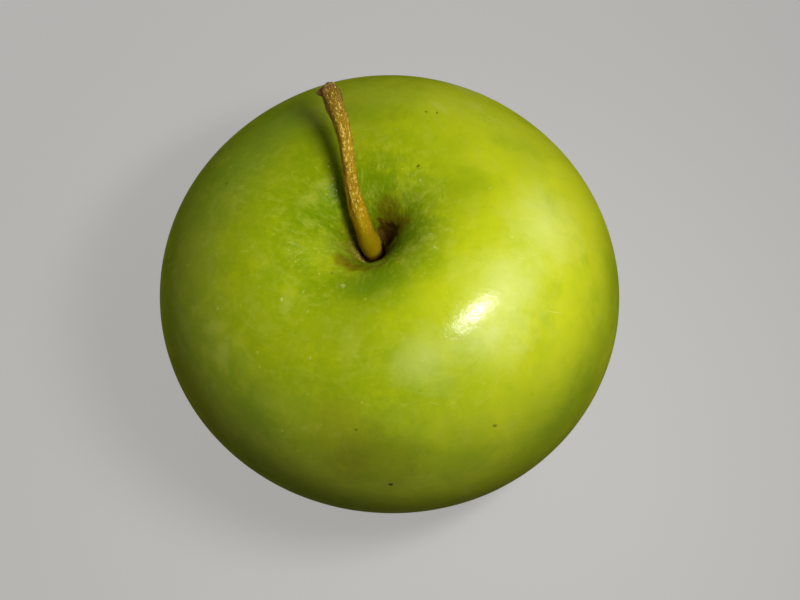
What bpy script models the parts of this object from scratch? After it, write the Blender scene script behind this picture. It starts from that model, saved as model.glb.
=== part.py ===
"""A whole green apple: the fruit, its woody stalk and the dried calyx under it.

Metres, +Z up. The fruit stands on five base lobes at Z = 0, and its box is centred on the Z axis.
The flesh and skin are one turned body, made uneven by a few slow waves round its axis and by a
bend that leaves the base level and leans the upper half towards -X.
"""

import math

import bmesh
import bpy
from mathutils import Matrix, Vector
from mathutils.geometry import interpolate_bezier

# Turned body.
CHEEK_RADIUS = 0.0400       # widest girth
CHEEK_HEIGHT = 0.0380       # level of the widest girth
CREST_RADIUS = 0.0160       # ring of the shoulder round the stalk cavity
CREST_HEIGHT = 0.0680
CAVITY_DEPTH = 0.0123       # crest down to the mouth of the stalk socket
FOOT_RADIUS = 0.0135        # ring of the base lobes round the calyx basin
BASIN_DEPTH = 0.0065

# Length of a curve's handle as a share of its span; 0.5523 gives a quarter of an ellipse.
ROUND = 0.5523
SHOULDER_REACH = 0.55
SHOULDER_DROP = 0.60
FUNNEL_FLARE = 0.79         # how far the crest's handle reaches back to the axis
FUNNEL_LIP = (0.0018, 0.00045)  # short handle at the socket's mouth, so the funnel starts steep
BASIN_FLOOR = 0.0050        # handle of the basin's middle

# Steps of the mesh: round the axis, and along each stretch of the half section.
TURN_STEPS = 64
FUNNEL_STEPS = 10
SHOULDER_STEPS = 12
CHEEK_STEPS = 14
BASIN_STEPS = 7
CREASE = 50.0               # degrees, past which an edge stays sharp

# Unevenness: each term is a count of waves round the axis, their size, and the direction of a
# peak in degrees from +X. Lifts and spreads are in metres, the girth's waves are shares of it.
CREST_LIFT = ((2, 0.00070, -21.0), (3, 0.00095, 67.0), (4, 0.00020, -3.0))
CREST_SPREAD = ((1, 0.00050, 10.0), (2, 0.00030, 82.0))
GIRTH_SHARE = ((2, 0.021, -12.0), (3, 0.005, -24.0))
FOOT_DROP = ((5, 0.00060, 90.0),)
LEAN_LEFT = 7.5             # degrees, towards -X
LEAN_FORWARD = 1.3          # degrees, towards -Y
STANDING_CUT = 0.00025      # worn off each base lobe where it touches the table

# Stalk: each point is its place from the socket's mouth, and the half thickness there.
STALK_ROUTE = (
    ((0.00028, 0.00005, -0.00220), 0.00140),
    ((-0.00010, 0.00005, 0.00060), 0.00146),
    ((-0.00055, 0.00045, 0.00340), 0.00144),
    ((-0.00125, 0.00125, 0.00630), 0.00142),
    ((-0.00210, 0.00275, 0.00900), 0.00132),
    ((-0.00285, 0.00500, 0.01230), 0.00110),
    ((-0.00325, 0.00770, 0.01490), 0.00103),
    ((-0.00375, 0.01060, 0.01670), 0.00110),
    ((-0.00475, 0.01360, 0.01780), 0.00140),
    ((-0.00565, 0.01550, 0.01860), 0.00160),
    ((-0.00590, 0.01710, 0.01960), 0.00140),
    ((-0.00590, 0.01770, 0.02010), 0.00070),
)
SOCKET_RADIUS = 0.00181
SOCKET_DEPTH = 0.0026

# Calyx.
CALYX_RADIUS = 0.0021       # lower rim of the disc
CALYX_TOP_RADIUS = 0.0016
CALYX_THICKNESS = 0.0008
CALYX_GAP = 0.00045         # from the middle of the basin
SEPALS = 5
SEPAL_STEPS = (             # outward, downward and width share of each stretch
    (0.0010, 0.0006, 0.95),
    (0.0009, 0.0010, 0.75),
    (0.0002, 0.0012, 0.45),
)

MERGE = 1e-6


def wave(terms, angle):
    """Sum of slow waves round the axis."""
    return sum(size * math.cos(count * (angle - math.radians(peak))) for count, size, peak in terms)


def ring_weight(radius, ring):
    """1 on the ring, easing to 0 at the axis and at the cheek."""
    if radius < ring:
        return 0.5 - 0.5 * math.cos(math.pi * radius / ring)
    outward = min((radius - ring) / (CHEEK_RADIUS - ring), 1.0)
    return 0.5 + 0.5 * math.cos(math.pi * outward)


def bend(point):
    """Lean the body about its middle, with the base left level."""
    share = min(max(point.z / CHEEK_HEIGHT, 0.0), 1.0)
    share = share * share * (3.0 - 2.0 * share)
    turn = Matrix.Rotation(math.radians(LEAN_FORWARD) * share, 3, "X")
    turn = turn @ Matrix.Rotation(math.radians(-LEAN_LEFT) * share, 3, "Y")
    middle = Vector((0.0, 0.0, CREST_HEIGHT / 2))
    return turn @ (point - middle) + middle


def grow(point):
    """Where a point of the turned body lies on the uneven fruit."""
    radius = math.hypot(point.x, point.y)
    angle = math.atan2(point.y, point.x)
    height = point.z
    if height >= CHEEK_HEIGHT:
        crown = ring_weight(radius, CREST_RADIUS)
        height += crown * wave(CREST_LIFT, angle)
        radius += crown * wave(CREST_SPREAD, angle)
    else:
        height -= ring_weight(radius, FOOT_RADIUS) * wave(FOOT_DROP, angle)
    radius *= 1.0 + wave(GIRTH_SHARE, angle)
    return bend(Vector((radius * math.cos(angle), radius * math.sin(angle), height)))


def arc(start, start_handle, end_handle, end, steps):
    """Points of one curved stretch of the half section, without its last point."""
    corners = (Vector((x, 0.0, z)) for x, z in (start, start_handle, end_handle, end))
    return interpolate_bezier(*corners, steps + 1)[:-1]


def half_section():
    """Outline from the socket's floor, over the shoulder and the cheek, to the basin's middle."""
    mouth = CREST_HEIGHT - CAVITY_DEPTH
    flare = CREST_RADIUS * FUNNEL_FLARE
    shoulder = CREST_HEIGHT - CHEEK_HEIGHT
    upper = CHEEK_RADIUS - CREST_RADIUS
    lower = CHEEK_RADIUS - FOOT_RADIUS
    floor = mouth - SOCKET_DEPTH
    points = [Vector((0.0, 0.0, floor)), Vector((SOCKET_RADIUS, 0.0, floor))]
    points += arc(
        (SOCKET_RADIUS, mouth), (SOCKET_RADIUS + FUNNEL_LIP[0], mouth + FUNNEL_LIP[1]),
        (CREST_RADIUS - flare, CREST_HEIGHT), (CREST_RADIUS, CREST_HEIGHT), FUNNEL_STEPS)
    points += arc(
        (CREST_RADIUS, CREST_HEIGHT),
        (CREST_RADIUS + SHOULDER_REACH * upper, CREST_HEIGHT),
        (CHEEK_RADIUS, CHEEK_HEIGHT + SHOULDER_DROP * shoulder), (CHEEK_RADIUS, CHEEK_HEIGHT),
        SHOULDER_STEPS)
    points += arc(
        (CHEEK_RADIUS, CHEEK_HEIGHT), (CHEEK_RADIUS, CHEEK_HEIGHT * (1 - ROUND)),
        (FOOT_RADIUS + ROUND * lower, 0.0), (FOOT_RADIUS, 0.0), CHEEK_STEPS)
    points += arc(
        (FOOT_RADIUS, 0.0), (FOOT_RADIUS * (1 - ROUND), 0.0),
        (BASIN_FLOOR, BASIN_DEPTH), (0.0, BASIN_DEPTH), BASIN_STEPS)
    points.append(Vector((0.0, 0.0, BASIN_DEPTH)))
    return points


def material(name, colour, roughness):
    """Plain finish of one piece."""
    finish = bpy.data.materials.new(name)
    finish.use_nodes = True
    shader = finish.node_tree.nodes["Principled BSDF"]
    shader.inputs["Base Color"].default_value = (*colour, 1.0)
    shader.inputs["Roughness"].default_value = roughness
    shader.inputs["Metallic"].default_value = 0.0
    return finish


def add_object(name, data, finish, collection, frame):
    """Put one piece in the collection, carried by the frame."""
    piece = bpy.data.objects.new(name, data)
    data.materials.append(finish)
    collection.objects.link(piece)
    piece.parent = frame
    return piece


def to_mesh(name, bm):
    """Finish a bmesh as a mesh with its faces pointing out."""
    bmesh.ops.recalc_face_normals(bm, faces=bm.faces)
    mesh = bpy.data.meshes.new(name)
    bm.to_mesh(mesh)
    bm.free()
    mesh.shade_smooth()
    return mesh


def fruit_mesh():
    """Turned, grown and set level on its lobes."""
    bm = bmesh.new()
    points = [bm.verts.new(point) for point in half_section()]
    edges = [bm.edges.new(pair) for pair in zip(points, points[1:])]
    bmesh.ops.spin(
        bm, geom=points + edges, cent=(0, 0, 0), axis=(0, 0, 1), angle=2 * math.pi,
        steps=TURN_STEPS, use_merge=True)
    bmesh.ops.remove_doubles(bm, verts=bm.verts, dist=MERGE)
    for vert in bm.verts:
        vert.co = grow(vert.co)
    lowest = -sum(size for _, size, _ in FOOT_DROP)
    everything = list(bm.verts) + list(bm.edges) + list(bm.faces)
    cut = bmesh.ops.bisect_plane(
        bm, geom=everything, dist=MERGE, plane_co=(0, 0, lowest + STANDING_CUT),
        plane_no=(0, 0, -1), clear_outer=True)
    rims = [item for item in cut["geom_cut"] if isinstance(item, bmesh.types.BMEdge)]
    bmesh.ops.holes_fill(bm, edges=rims, sides=0)
    mesh = to_mesh("fruit", bm)
    mesh.set_sharp_from_angle(angle=math.radians(CREASE))
    return mesh


def stalk_curve():
    """A bent, tapering rod with a flared foot and a knobbed end."""
    mouth = grow(Vector((0.0, 0.0, CREST_HEIGHT - CAVITY_DEPTH)))
    curve = bpy.data.curves.new("stem", "CURVE")
    curve.dimensions = "3D"
    curve.bevel_depth = 1.0
    curve.bevel_resolution = 4
    curve.resolution_u = 3
    curve.use_fill_caps = True
    spline = curve.splines.new("BEZIER")
    spline.radius_interpolation = "CARDINAL"
    spline.bezier_points.add(len(STALK_ROUTE) - 1)
    for knot, (place, half_thickness) in zip(spline.bezier_points, STALK_ROUTE):
        knot.co = mouth + Vector(place)
        knot.radius = half_thickness
        knot.handle_left_type = "AUTO"
        knot.handle_right_type = "AUTO"
    return curve


def calyx_mesh():
    """A small disc with five thin sepals that spread and hang in the basin."""
    seat = grow(Vector((0.0, 0.0, BASIN_DEPTH)))
    bm = bmesh.new()
    bmesh.ops.create_cone(
        bm, cap_ends=True, segments=2 * SEPALS, radius1=CALYX_RADIUS, radius2=CALYX_TOP_RADIUS,
        depth=CALYX_THICKNESS)
    sides = [face for face in bm.faces if len(face.verts) == 4]
    sides.sort(key=lambda face: math.atan2(face.calc_center_median().y, face.calc_center_median().x))
    for face in sides[::2]:
        outward = face.calc_center_median()
        outward.z = 0.0
        outward.normalize()
        for reach, drop, width in SEPAL_STEPS:
            face = bmesh.ops.extrude_discrete_faces(bm, faces=[face])["faces"][0]
            bmesh.ops.translate(bm, verts=face.verts, vec=outward * reach - Vector((0.0, 0.0, drop)))
            middle = face.calc_center_median()
            for vert in face.verts:
                vert.co = middle + (vert.co - middle) * width
    bmesh.ops.translate(
        bm, verts=bm.verts, vec=seat - Vector((0.0, 0.0, CALYX_GAP + CALYX_THICKNESS / 2)))
    return to_mesh("calyx", bm)


def soften(piece):
    """Round a coarse piece."""
    smooth = piece.modifiers.new("smooth", "SUBSURF")
    smooth.levels = 1
    smooth.render_levels = 1


def centre(frame, fruit):
    """Stand the frame so that the fruit's box is centred on the Z axis and its lobes touch Z = 0."""
    corners = [vert.co for vert in fruit.data.vertices]
    for axis in (0, 1):
        span = [corner[axis] for corner in corners]
        frame.location[axis] = -(min(span) + max(span)) / 2
    frame.location[2] = -min(corner.z for corner in corners)


def main():
    for old in list(bpy.data.objects):
        bpy.data.objects.remove(old, do_unlink=True)
    collection = bpy.data.collections.new("green fruit with stalk")
    bpy.context.scene.collection.children.link(collection)
    frame = bpy.data.objects.new("base centre", None)
    collection.objects.link(frame)

    skin = material("green skin", (0.40, 0.50, 0.03), 0.35)
    wood = material("stalk wood", (0.30, 0.17, 0.03), 0.75)
    dry = material("dry sepal", (0.10, 0.06, 0.025), 0.90)

    fruit = add_object("fruit", fruit_mesh(), skin, collection, frame)
    add_object("stem", stalk_curve(), wood, collection, frame)
    soften(add_object("calyx", calyx_mesh(), dry, collection, frame))
    centre(frame, fruit)


main()
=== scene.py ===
"""The look of a whole green fruit: waxy skin, a long woody stalk and a dried calyx.

Metres, +Z up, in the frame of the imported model. The fine meshes follow the same rules of growth as
the plain solids that they stand for: a turned outline, slow waves round its axis and a lean.
"""

from __future__ import annotations

import logging
import math
from dataclasses import dataclass, field
from enum import Enum

import bmesh
import bpy
from mathutils import Matrix, Vector, noise
from mathutils.geometry import interpolate_bezier


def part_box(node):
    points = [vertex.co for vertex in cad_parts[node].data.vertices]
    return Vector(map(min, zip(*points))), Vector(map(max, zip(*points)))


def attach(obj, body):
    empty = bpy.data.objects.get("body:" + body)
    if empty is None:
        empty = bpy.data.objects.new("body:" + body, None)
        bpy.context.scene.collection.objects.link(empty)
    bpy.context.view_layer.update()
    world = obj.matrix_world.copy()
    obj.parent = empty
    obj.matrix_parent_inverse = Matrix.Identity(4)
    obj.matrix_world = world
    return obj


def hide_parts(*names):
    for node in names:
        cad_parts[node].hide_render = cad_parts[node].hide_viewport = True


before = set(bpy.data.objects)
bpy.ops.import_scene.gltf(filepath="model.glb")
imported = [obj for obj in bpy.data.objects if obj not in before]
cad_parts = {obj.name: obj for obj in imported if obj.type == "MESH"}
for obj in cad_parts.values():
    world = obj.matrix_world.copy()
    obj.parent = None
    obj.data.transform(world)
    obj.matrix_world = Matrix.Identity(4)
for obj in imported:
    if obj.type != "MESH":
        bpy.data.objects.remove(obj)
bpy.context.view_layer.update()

LOG = logging.getLogger("green fruit")
MERGE = 1e-7
UP = Vector((0.0, 0.0, 1.0))

Colour = tuple[float, float, float]
Socket = bpy.types.NodeSocket

MILLIMETRE = 0.001
RAY_UNIT = 0.01  # metres, of the reach that the skin's ray layer holds
SEED = 5         # of the noise that crumples the calyx's cup
MIX_UNDER, MIX_OVER, MIX_RESULT = 6, 7, 2  # a colour mix's sockets


class Part(Enum):
    """The pieces of the object, by the names of the solids that they stand for."""

    FRUIT = "fruit"
    STALK = "stem"
    CALYX = "calyx"


class Slot(Enum):
    """The record's finishes."""

    SKIN = "skin"
    WOOD = "stalk_wood"
    SEPAL = "dry_sepal"


class Stain(Enum):
    """What a mark on the skin is."""

    SPECK = "dark corky speck, a little sunk"
    # also painted glints: bright dots where light glints
    PALE_BUMP_AND_GLINT = "tiny pale bump"
    # some, on the cavity wall left of the stalk, are partly painted sheen
    BLOOM = "soft pale patch of wax"
    RUST = "brown russet"
    # partly painted sheen: whitish round the highlight
    WAX_AND_PAINTED_SHEEN = "whitish patch of wax"
    # partly painted shade: darker green where the light falls off
    GREENER_AND_PAINTED_SHADE = "broad greener patch"
    # partly painted light: lighter where a wall faces the lamp
    YELLOWER_AND_PAINTED_LIGHT = "broad yellower patch"
    SCRATCH = "hairline scratch"


def ease(value: float, low: float, high: float) -> float:
    """Smooth step.

    Args:
        value: what is measured.
        low: where the step starts; it may be above high.
        high: where the step ends.

    Returns:
        0 at low, 1 at high, and a smooth rise between them.
    """
    share = min(max((value - low) / (high - low), 0.0), 1.0)
    return share * share * (3.0 - 2.0 * share)


def hill(value: float, middle: float, width: float) -> float:
    """Bell curve of height 1 round a middle."""
    return math.exp(-(((value - middle) / width) ** 2))


def toward(angle: float) -> Vector:
    """Unit vector in a direction, in radians from +X."""
    return Vector((math.cos(angle), math.sin(angle), 0.0))


def turn_from(direction: float, angle: float) -> float:
    """Degrees from a direction in degrees to an angle in radians, the short way round."""
    return (math.degrees(angle) - direction + 180) % 360 - 180


def turned(section: list[Vector], steps: int) -> bmesh.types.BMesh:
    """Spin a half section about the Z axis into a closed body.

    Args:
        section: points from one end of the axis to the other, in the XZ plane.
        steps: how many steps make the full turn.

    Returns:
        A new bmesh with its seam and poles closed.
    """
    bm = bmesh.new()
    points = [bm.verts.new(point) for point in section]
    edges = [bm.edges.new(pair) for pair in zip(points, points[1:])]
    bmesh.ops.spin(
        bm, geom=points + edges, cent=(0, 0, 0), axis=UP, angle=2 * math.pi, steps=steps,
        use_merge=True)
    bmesh.ops.remove_doubles(bm, verts=bm.verts, dist=MERGE)
    bmesh.ops.recalc_face_normals(bm, faces=bm.faces)
    return bm


def show(name: str, data: bpy.types.ID) -> bpy.types.Object:
    """Put data into the scene as a new object."""
    shown = bpy.data.objects.new(name, data)
    bpy.context.scene.collection.objects.link(shown)
    return shown


def mesh_of(bm: bmesh.types.BMesh, name: str) -> bpy.types.Mesh:
    """Turn a bmesh, which is freed, into a mesh."""
    mesh = bpy.data.meshes.new(name)
    bm.to_mesh(mesh)
    bm.free()
    return mesh


def finish_piece(
    part: Part, bm: bmesh.types.BMesh, finish: bpy.types.Material, name: str
) -> bpy.types.Object:
    """Turn a bmesh into a shown piece that rides on the body and stands for its solid.

    Args:
        part: the solid that the piece stands for.
        bm: its mesh, in place; it is freed.
        finish: its material.
        name: the piece's name.

    Returns:
        The new object.
    """
    mesh = mesh_of(bm, name)
    mesh.shade_smooth()
    mesh.materials.append(finish)
    piece = show(name, mesh)
    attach(piece, "root")
    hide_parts(part.value)
    LOG.info("%s: %d faces", name, len(mesh.polygons))
    return piece


# --------------------------------------------------------------------------------------------
# Growth
# --------------------------------------------------------------------------------------------


@dataclass(frozen=True)
class Wave:
    """Waves round the axis."""

    count: int
    size: float
    peak: float  # degrees from +X

    def at(self, angle: float) -> float:
        """Height of the wave in a direction, in radians from +X."""
        return self.size * math.cos(self.count * (angle - math.radians(self.peak)))


def swell(waves: tuple[Wave, ...], angle: float) -> float:
    """Sum of waves in one direction."""
    return sum(wave.at(angle) for wave in waves)


@dataclass(frozen=True)
class Crumple:
    """Uneven heights round an axis and along it."""

    turns: float        # how quickly they change round the axis
    rate: float         # and along it, per metre
    share: float = 1.0  # the largest height

    def at(self, angle: float, along: float) -> float:
        """Height in a direction, in radians from +X, and so far along the axis."""
        return self.share * noise.noise(toward(angle) * self.turns + UP * along * self.rate)


@dataclass(frozen=True)
class Stretches:
    """How many steps each stretch of the half section gets."""

    socket: int = 6
    funnel: int = 66
    shoulder: int = 50
    cheek: int = 56
    basin: int = 34


@dataclass(frozen=True)
class Growth:
    """How the fruit grew, from its axis outwards. Sizes in metres, angles in degrees."""

    cheek_radius: float = 0.0400
    cheek_height: float = 0.0380
    crest_radius: float = 0.0160
    crest_height: float = 0.0680
    cavity_depth: float = 0.0123
    foot_radius: float = 0.0135
    basin_depth: float = 0.0065
    quarter_round: float = 0.5523
    shoulder_reach: float = 0.55
    shoulder_drop: float = 0.60
    funnel_flare: float = 0.79
    funnel_lip: tuple[float, float] = (0.0018, 0.00045)
    basin_floor: float = 0.0050
    socket_radius: float = 0.00158
    socket_rise: float = 0.0007   # of the skin's lip round the stalk
    socket_depth: float = 0.0026
    socket_grip: float = 0.00138  # radius at which the skin closes on the stalk
    crest_lift: tuple[Wave, ...] = (
        Wave(2, 0.00070, -21.0), Wave(3, 0.00095, 67.0), Wave(4, 0.00020, -3.0))
    crest_spread: tuple[Wave, ...] = (Wave(1, 0.00050, 10.0), Wave(2, 0.00030, 82.0))
    girth_share: tuple[Wave, ...] = (Wave(2, 0.021, -12.0), Wave(3, 0.005, -24.0))
    foot_drop: tuple[Wave, ...] = (Wave(5, 0.00060, 90.0),)
    lean_left: float = 7.5
    lean_forward: float = 1.3
    standing_cut: float = 0.00025

    @property
    def mouth(self) -> float:
        """Height of the socket's mouth on the turned body."""
        return self.crest_height - self.cavity_depth

    @property
    def standing_level(self) -> float:
        """Height at which the base lobes are worn flat, before the fruit is set down."""
        return self.standing_cut - sum(wave.size for wave in self.foot_drop)

    def ring_weight(self, radius: float, ring: float) -> float:
        """1 on the ring, easing to 0 at the axis and at the cheek."""
        if radius < ring:
            return 0.5 - 0.5 * math.cos(math.pi * radius / ring)
        outward = min((radius - ring) / (self.cheek_radius - ring), 1.0)
        return 0.5 + 0.5 * math.cos(math.pi * outward)

    def bend(self, point: Vector) -> Vector:
        """Lean the body about its middle, with the base left level."""
        share = ease(point.z, 0.0, self.cheek_height)
        turn = Matrix.Rotation(math.radians(self.lean_forward) * share, 3, "X")
        turn = turn @ Matrix.Rotation(math.radians(-self.lean_left) * share, 3, "Y")
        middle = Vector((0.0, 0.0, self.crest_height / 2))
        return turn @ (point - middle) + middle

    def grow(self, point: Vector) -> Vector:
        """Where a point of the turned body lies on the uneven fruit."""
        radius = math.hypot(point.x, point.y)
        angle = math.atan2(point.y, point.x)
        height = point.z
        if height >= self.cheek_height:
            crown = self.ring_weight(radius, self.crest_radius)
            height += crown * swell(self.crest_lift, angle)
            radius += crown * swell(self.crest_spread, angle)
        else:
            height -= self.ring_weight(radius, self.foot_radius) * swell(self.foot_drop, angle)
        radius *= 1.0 + swell(self.girth_share, angle)
        return self.bend(Vector((radius * math.cos(angle), radius * math.sin(angle), height)))

    def half_section(self, stretches: Stretches) -> list[Vector]:
        """Outline from the socket's floor, over shoulder and cheek, to the basin's middle.

        Args:
            stretches: how finely each stretch is stepped.

        Returns:
            Points in the XZ plane, from axis to axis.
        """
        crest = (self.crest_radius, self.crest_height)
        cheek = (self.cheek_radius, self.cheek_height)
        lip = (self.socket_radius, self.mouth + self.socket_rise)
        floor = self.mouth - self.socket_depth
        grip_level = self.mouth - self.socket_depth / 2
        upper = self.cheek_radius - self.crest_radius
        lower = self.cheek_radius - self.foot_radius
        shoulder = self.crest_height - self.cheek_height
        flat = 1 - self.quarter_round
        curves = (
            ((self.socket_grip, floor), (self.socket_grip, grip_level),
             (self.socket_radius, grip_level), lip, stretches.socket),
            (lip, (lip[0] + self.funnel_lip[0], lip[1] + self.funnel_lip[1]),
             (self.crest_radius * (1 - self.funnel_flare), self.crest_height), crest,
             stretches.funnel),
            (crest, (self.crest_radius + self.shoulder_reach * upper, self.crest_height),
             (self.cheek_radius, self.cheek_height + self.shoulder_drop * shoulder), cheek,
             stretches.shoulder),
            (cheek, (self.cheek_radius, self.cheek_height * flat),
             (self.foot_radius + self.quarter_round * lower, 0.0), (self.foot_radius, 0.0),
             stretches.cheek),
            ((self.foot_radius, 0.0), (self.foot_radius * flat, 0.0),
             (self.basin_floor, self.basin_depth), (0.0, self.basin_depth), stretches.basin),
        )
        points = [Vector((0.0, 0.0, floor))]
        for *corners, steps in curves:
            handles = (Vector((x, 0.0, z)) for x, z in corners)
            points += interpolate_bezier(*handles, steps + 1)[:-1]
        points.append(Vector((0.0, 0.0, self.basin_depth)))
        return points


@dataclass(frozen=True)
class Stand:
    """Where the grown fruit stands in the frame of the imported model."""

    growth: Growth
    shift: Vector

    @classmethod
    def under(cls, growth: Growth, box: tuple[Vector, Vector]) -> Stand:
        """Find the shift that puts the grown fruit in its solid's box.

        Args:
            growth: the rules of growth.
            box: the solid's lowest and highest corners.

        Returns:
            The stand.
        """
        directions = [math.radians(step) for step in range(0, 360, 5)]
        grown = [
            growth.grow(Matrix.Rotation(angle, 3, "Z") @ point)
            for point in growth.half_section(Stretches(1, 8, 12, 12, 4)) for angle in directions]
        shift = Vector((0.0, 0.0, box[0].z - growth.standing_level))
        for axis in (0, 1):
            places = [point[axis] for point in grown]
            shift[axis] = (box[0][axis] + box[1][axis] - min(places) - max(places)) / 2
        return cls(growth, shift)

    def place(self, point: Vector) -> Vector:
        """Where a point of the turned body lies in the frame."""
        return self.growth.grow(point) + self.shift

    def on_skin(self, direction: float, reach: float) -> Matrix:
        """A place on the upper skin.

        Args:
            direction: degrees from +X, round the axis.
            reach: distance from the axis of the turned body.

        Returns:
            A matrix at that place, its X column downhill, its Y column round the axis and its
            Z column out of the skin.
        """
        section = self.growth.half_section(Stretches())
        upper = [point for point in section if point.z >= self.growth.cheek_height]
        index = min(range(1, len(upper)), key=lambda step: abs(upper[step].x - reach))
        turn = Matrix.Rotation(math.radians(direction), 3, "Z")
        place = self.place(turn @ upper[index])
        downhill = (place - self.place(turn @ upper[index - 1])).normalized()
        out = downhill.cross(turn @ Vector((0.0, 1.0, 0.0))).normalized()
        axes = Matrix((downhill, out.cross(downhill), out)).transposed()
        return Matrix.Translation(place) @ axes.to_4x4()


# --------------------------------------------------------------------------------------------
# Finishes
# --------------------------------------------------------------------------------------------


class Graph:
    """Short hand for the nodes of one finish, or of the sky."""

    def __init__(self, owner: bpy.types.Material | bpy.types.World) -> None:
        """Turn on the owner's nodes."""
        owner.use_nodes = True
        self.owner = owner
        self.tree = owner.node_tree

    def add(self, kind: str, *feeds: object, **values: object) -> bpy.types.Node:
        """Add a node.

        Args:
            kind: its type, without the words that all types start with.
            feeds: what its first inputs take, in their order.
            values: its other inputs and its settings; see fill.

        Returns:
            The new node.
        """
        node = self.fill(self.tree.nodes.new("ShaderNode" + kind), **values)
        for socket, value in zip(node.inputs, feeds):
            self.feed(socket, value)
        return node

    def fill(self, node: bpy.types.Node, **values: object) -> bpy.types.Node:
        """Feed a node's inputs, by their names with _ for a space, or change its settings."""
        for key, value in values.items():
            name = key.replace("_", " ")
            if name in node.inputs:
                self.feed(node.inputs[name], value)
            else:
                setattr(node, key, value)
        return node

    def feed(self, socket: Socket, value: object) -> None:
        """Link a socket, or set its value."""
        if isinstance(value, Socket):
            self.tree.links.new(value, socket)
        else:
            socket.default_value = (*value, 1.0) if socket.type == "RGBA" else value

    def gloss(self, **values: object) -> None:
        """Fill the finish's shader."""
        self.fill(self.tree.nodes["Principled BSDF"], **values)

    def place(self) -> Socket:
        """The point's place on the object, in metres."""
        return self.add("TexCoord").outputs["Object"]

    def read(self, name: str, output: str = "Fac") -> Socket:
        """A value that the mesh carries."""
        return self.add("Attribute", attribute_name=name).outputs[output]

    def shown(self) -> Socket:
        """1 for what the camera sees, straight or by reflection, and 0 for light."""
        rays = self.add("LightPath").outputs
        return self.most(
            rays["Is Camera Ray"], rays["Is Glossy Ray"], rays["Is Transmission Ray"])

    def stretch(self, vector: Socket, scale: Colour = (1, 1, 1), move: Colour = (0, 0, 0)
                ) -> Socket:
        """Scale and move a vector."""
        return self.add("Mapping", Vector=vector, Scale=scale, Location=move).outputs["Vector"]

    def clouds(self, vector: Socket, scale: float, detail: float = 2.0,
               roughness: float = 0.5, distortion: float = 0.0) -> Socket:
        """Soft noise from 0 to 1."""
        return self.add(
            "TexNoise", Vector=vector, Scale=scale, Detail=detail, Roughness=roughness,
            Distortion=distortion).outputs["Fac"]

    def step(self, value: object, low: object, high: object) -> Socket:
        """Smooth step from 0 at low to 1 at high."""
        node = self.add("MapRange", value, low, high, interpolation_type="SMOOTHSTEP")
        return node.outputs["Result"]

    def scale(self, value: object, low: float, high: float) -> Socket:
        """Spread a value of 0 to 1 between low and high."""
        return self.add("MapRange", value, 0.0, 1.0, low, high).outputs["Result"]

    def reckon(self, operation: str, first: object, *others: object) -> Socket:
        """Take values together, one after another."""
        for other in others:
            first = self.add("Math", first, other, operation=operation).outputs[0]
        return first

    def both(self, *masks: object) -> Socket:
        """Product of masks."""
        return self.reckon("MULTIPLY", *masks)

    def total(self, *values: object) -> Socket:
        """Sum of values."""
        return self.reckon("ADD", *values)

    def most(self, *masks: object) -> Socket:
        """The largest of some masks."""
        return self.reckon("MAXIMUM", *masks)

    def bare(self, mask: object) -> Socket:
        """What a mask leaves free."""
        return self.reckon("SUBTRACT", 1.0, mask)

    def paint(self, under: object, over: object, cover: object) -> Socket:
        """Lay one colour over another, by a cover from 0 to 1."""
        node = self.add("Mix", cover, data_type="RGBA")
        self.feed(node.inputs[MIX_UNDER], under)
        self.feed(node.inputs[MIX_OVER], over)
        return node.outputs[MIX_RESULT]

    def lay(self, under: object, over: object, value: object, low: float, high: float,
            *covers: object) -> Socket:
        """Lay a colour where a value runs from low to high.

        Args:
            under: the colour below.
            over: the colour on top.
            value: what says where it lies.
            low: the value at which it starts; it may be above high.
            high: the value from which it covers.
            covers: masks and shares that thin it.

        Returns:
            The mixed colour.
        """
        return self.paint(under, over, self.both(self.step(value, low, high), *covers))

    def inside(self, vector: Socket, stand: Matrix, sizes: Vector) -> Socket:
        """How far a point lies out of an ellipsoid, which is 1 on its surface.

        Args:
            vector: the point.
            stand: the ellipsoid's middle and axes.
            sizes: its half lengths.

        Returns:
            The share.
        """
        middle = stand.to_translation()
        turn = self.add(
            "VectorRotate", rotation_type="EULER_XYZ", invert=True, Vector=vector, Center=middle,
            Rotation=stand.to_euler())
        share = self.add(
            "VectorMath", turn.outputs["Vector"], [1 / size for size in sizes],
            [-at / size for at, size in zip(middle, sizes)], operation="MULTIPLY_ADD")
        length = self.add("VectorMath", share.outputs["Vector"], operation="LENGTH")
        return length.outputs["Value"]

    def relief(self, height: object, depth: float, **under: Socket) -> Socket:
        """Bump of a height from 0 to 1, so many metres deep, on another one's Normal."""
        return self.add("Bump", Height=height, Distance=depth, **under).outputs["Normal"]


@dataclass(frozen=True)
class Spot:
    """What the skin's nodes know of a point."""

    place: Socket  # on the object, in metres
    ray: Socket    # its direction round the axis, and its reach in RAY_UNITs
    pit: Socket    # 0 from the crest outwards, rising to 1 at the axis


@dataclass(frozen=True)
class Mark:
    """A mark on the upper skin."""

    stain: Stain
    direction: float      # degrees round the axis from +X
    reach: float          # distance from the axis, metres
    size: float           # half width, metres
    cover: float = 0.8
    stretch: float = 1.0  # half length as a multiple of the half width
    slant: float = 0.0    # degrees of its length from downhill


def marks_of(stain: Stain, *rows: tuple[float, ...]) -> tuple[Mark, ...]:
    """Marks of one kind.

    Args:
        stain: their kind.
        rows: each one's direction in degrees, its reach and half width in millimetres, and then
            its cover, stretch and slant as far as they aren't a Mark's usual ones.

    Returns:
        The marks.
    """
    return tuple(
        Mark(stain, direction, reach * MILLIMETRE, size * MILLIMETRE, *looks)
        for direction, reach, size, *looks in rows)


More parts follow.
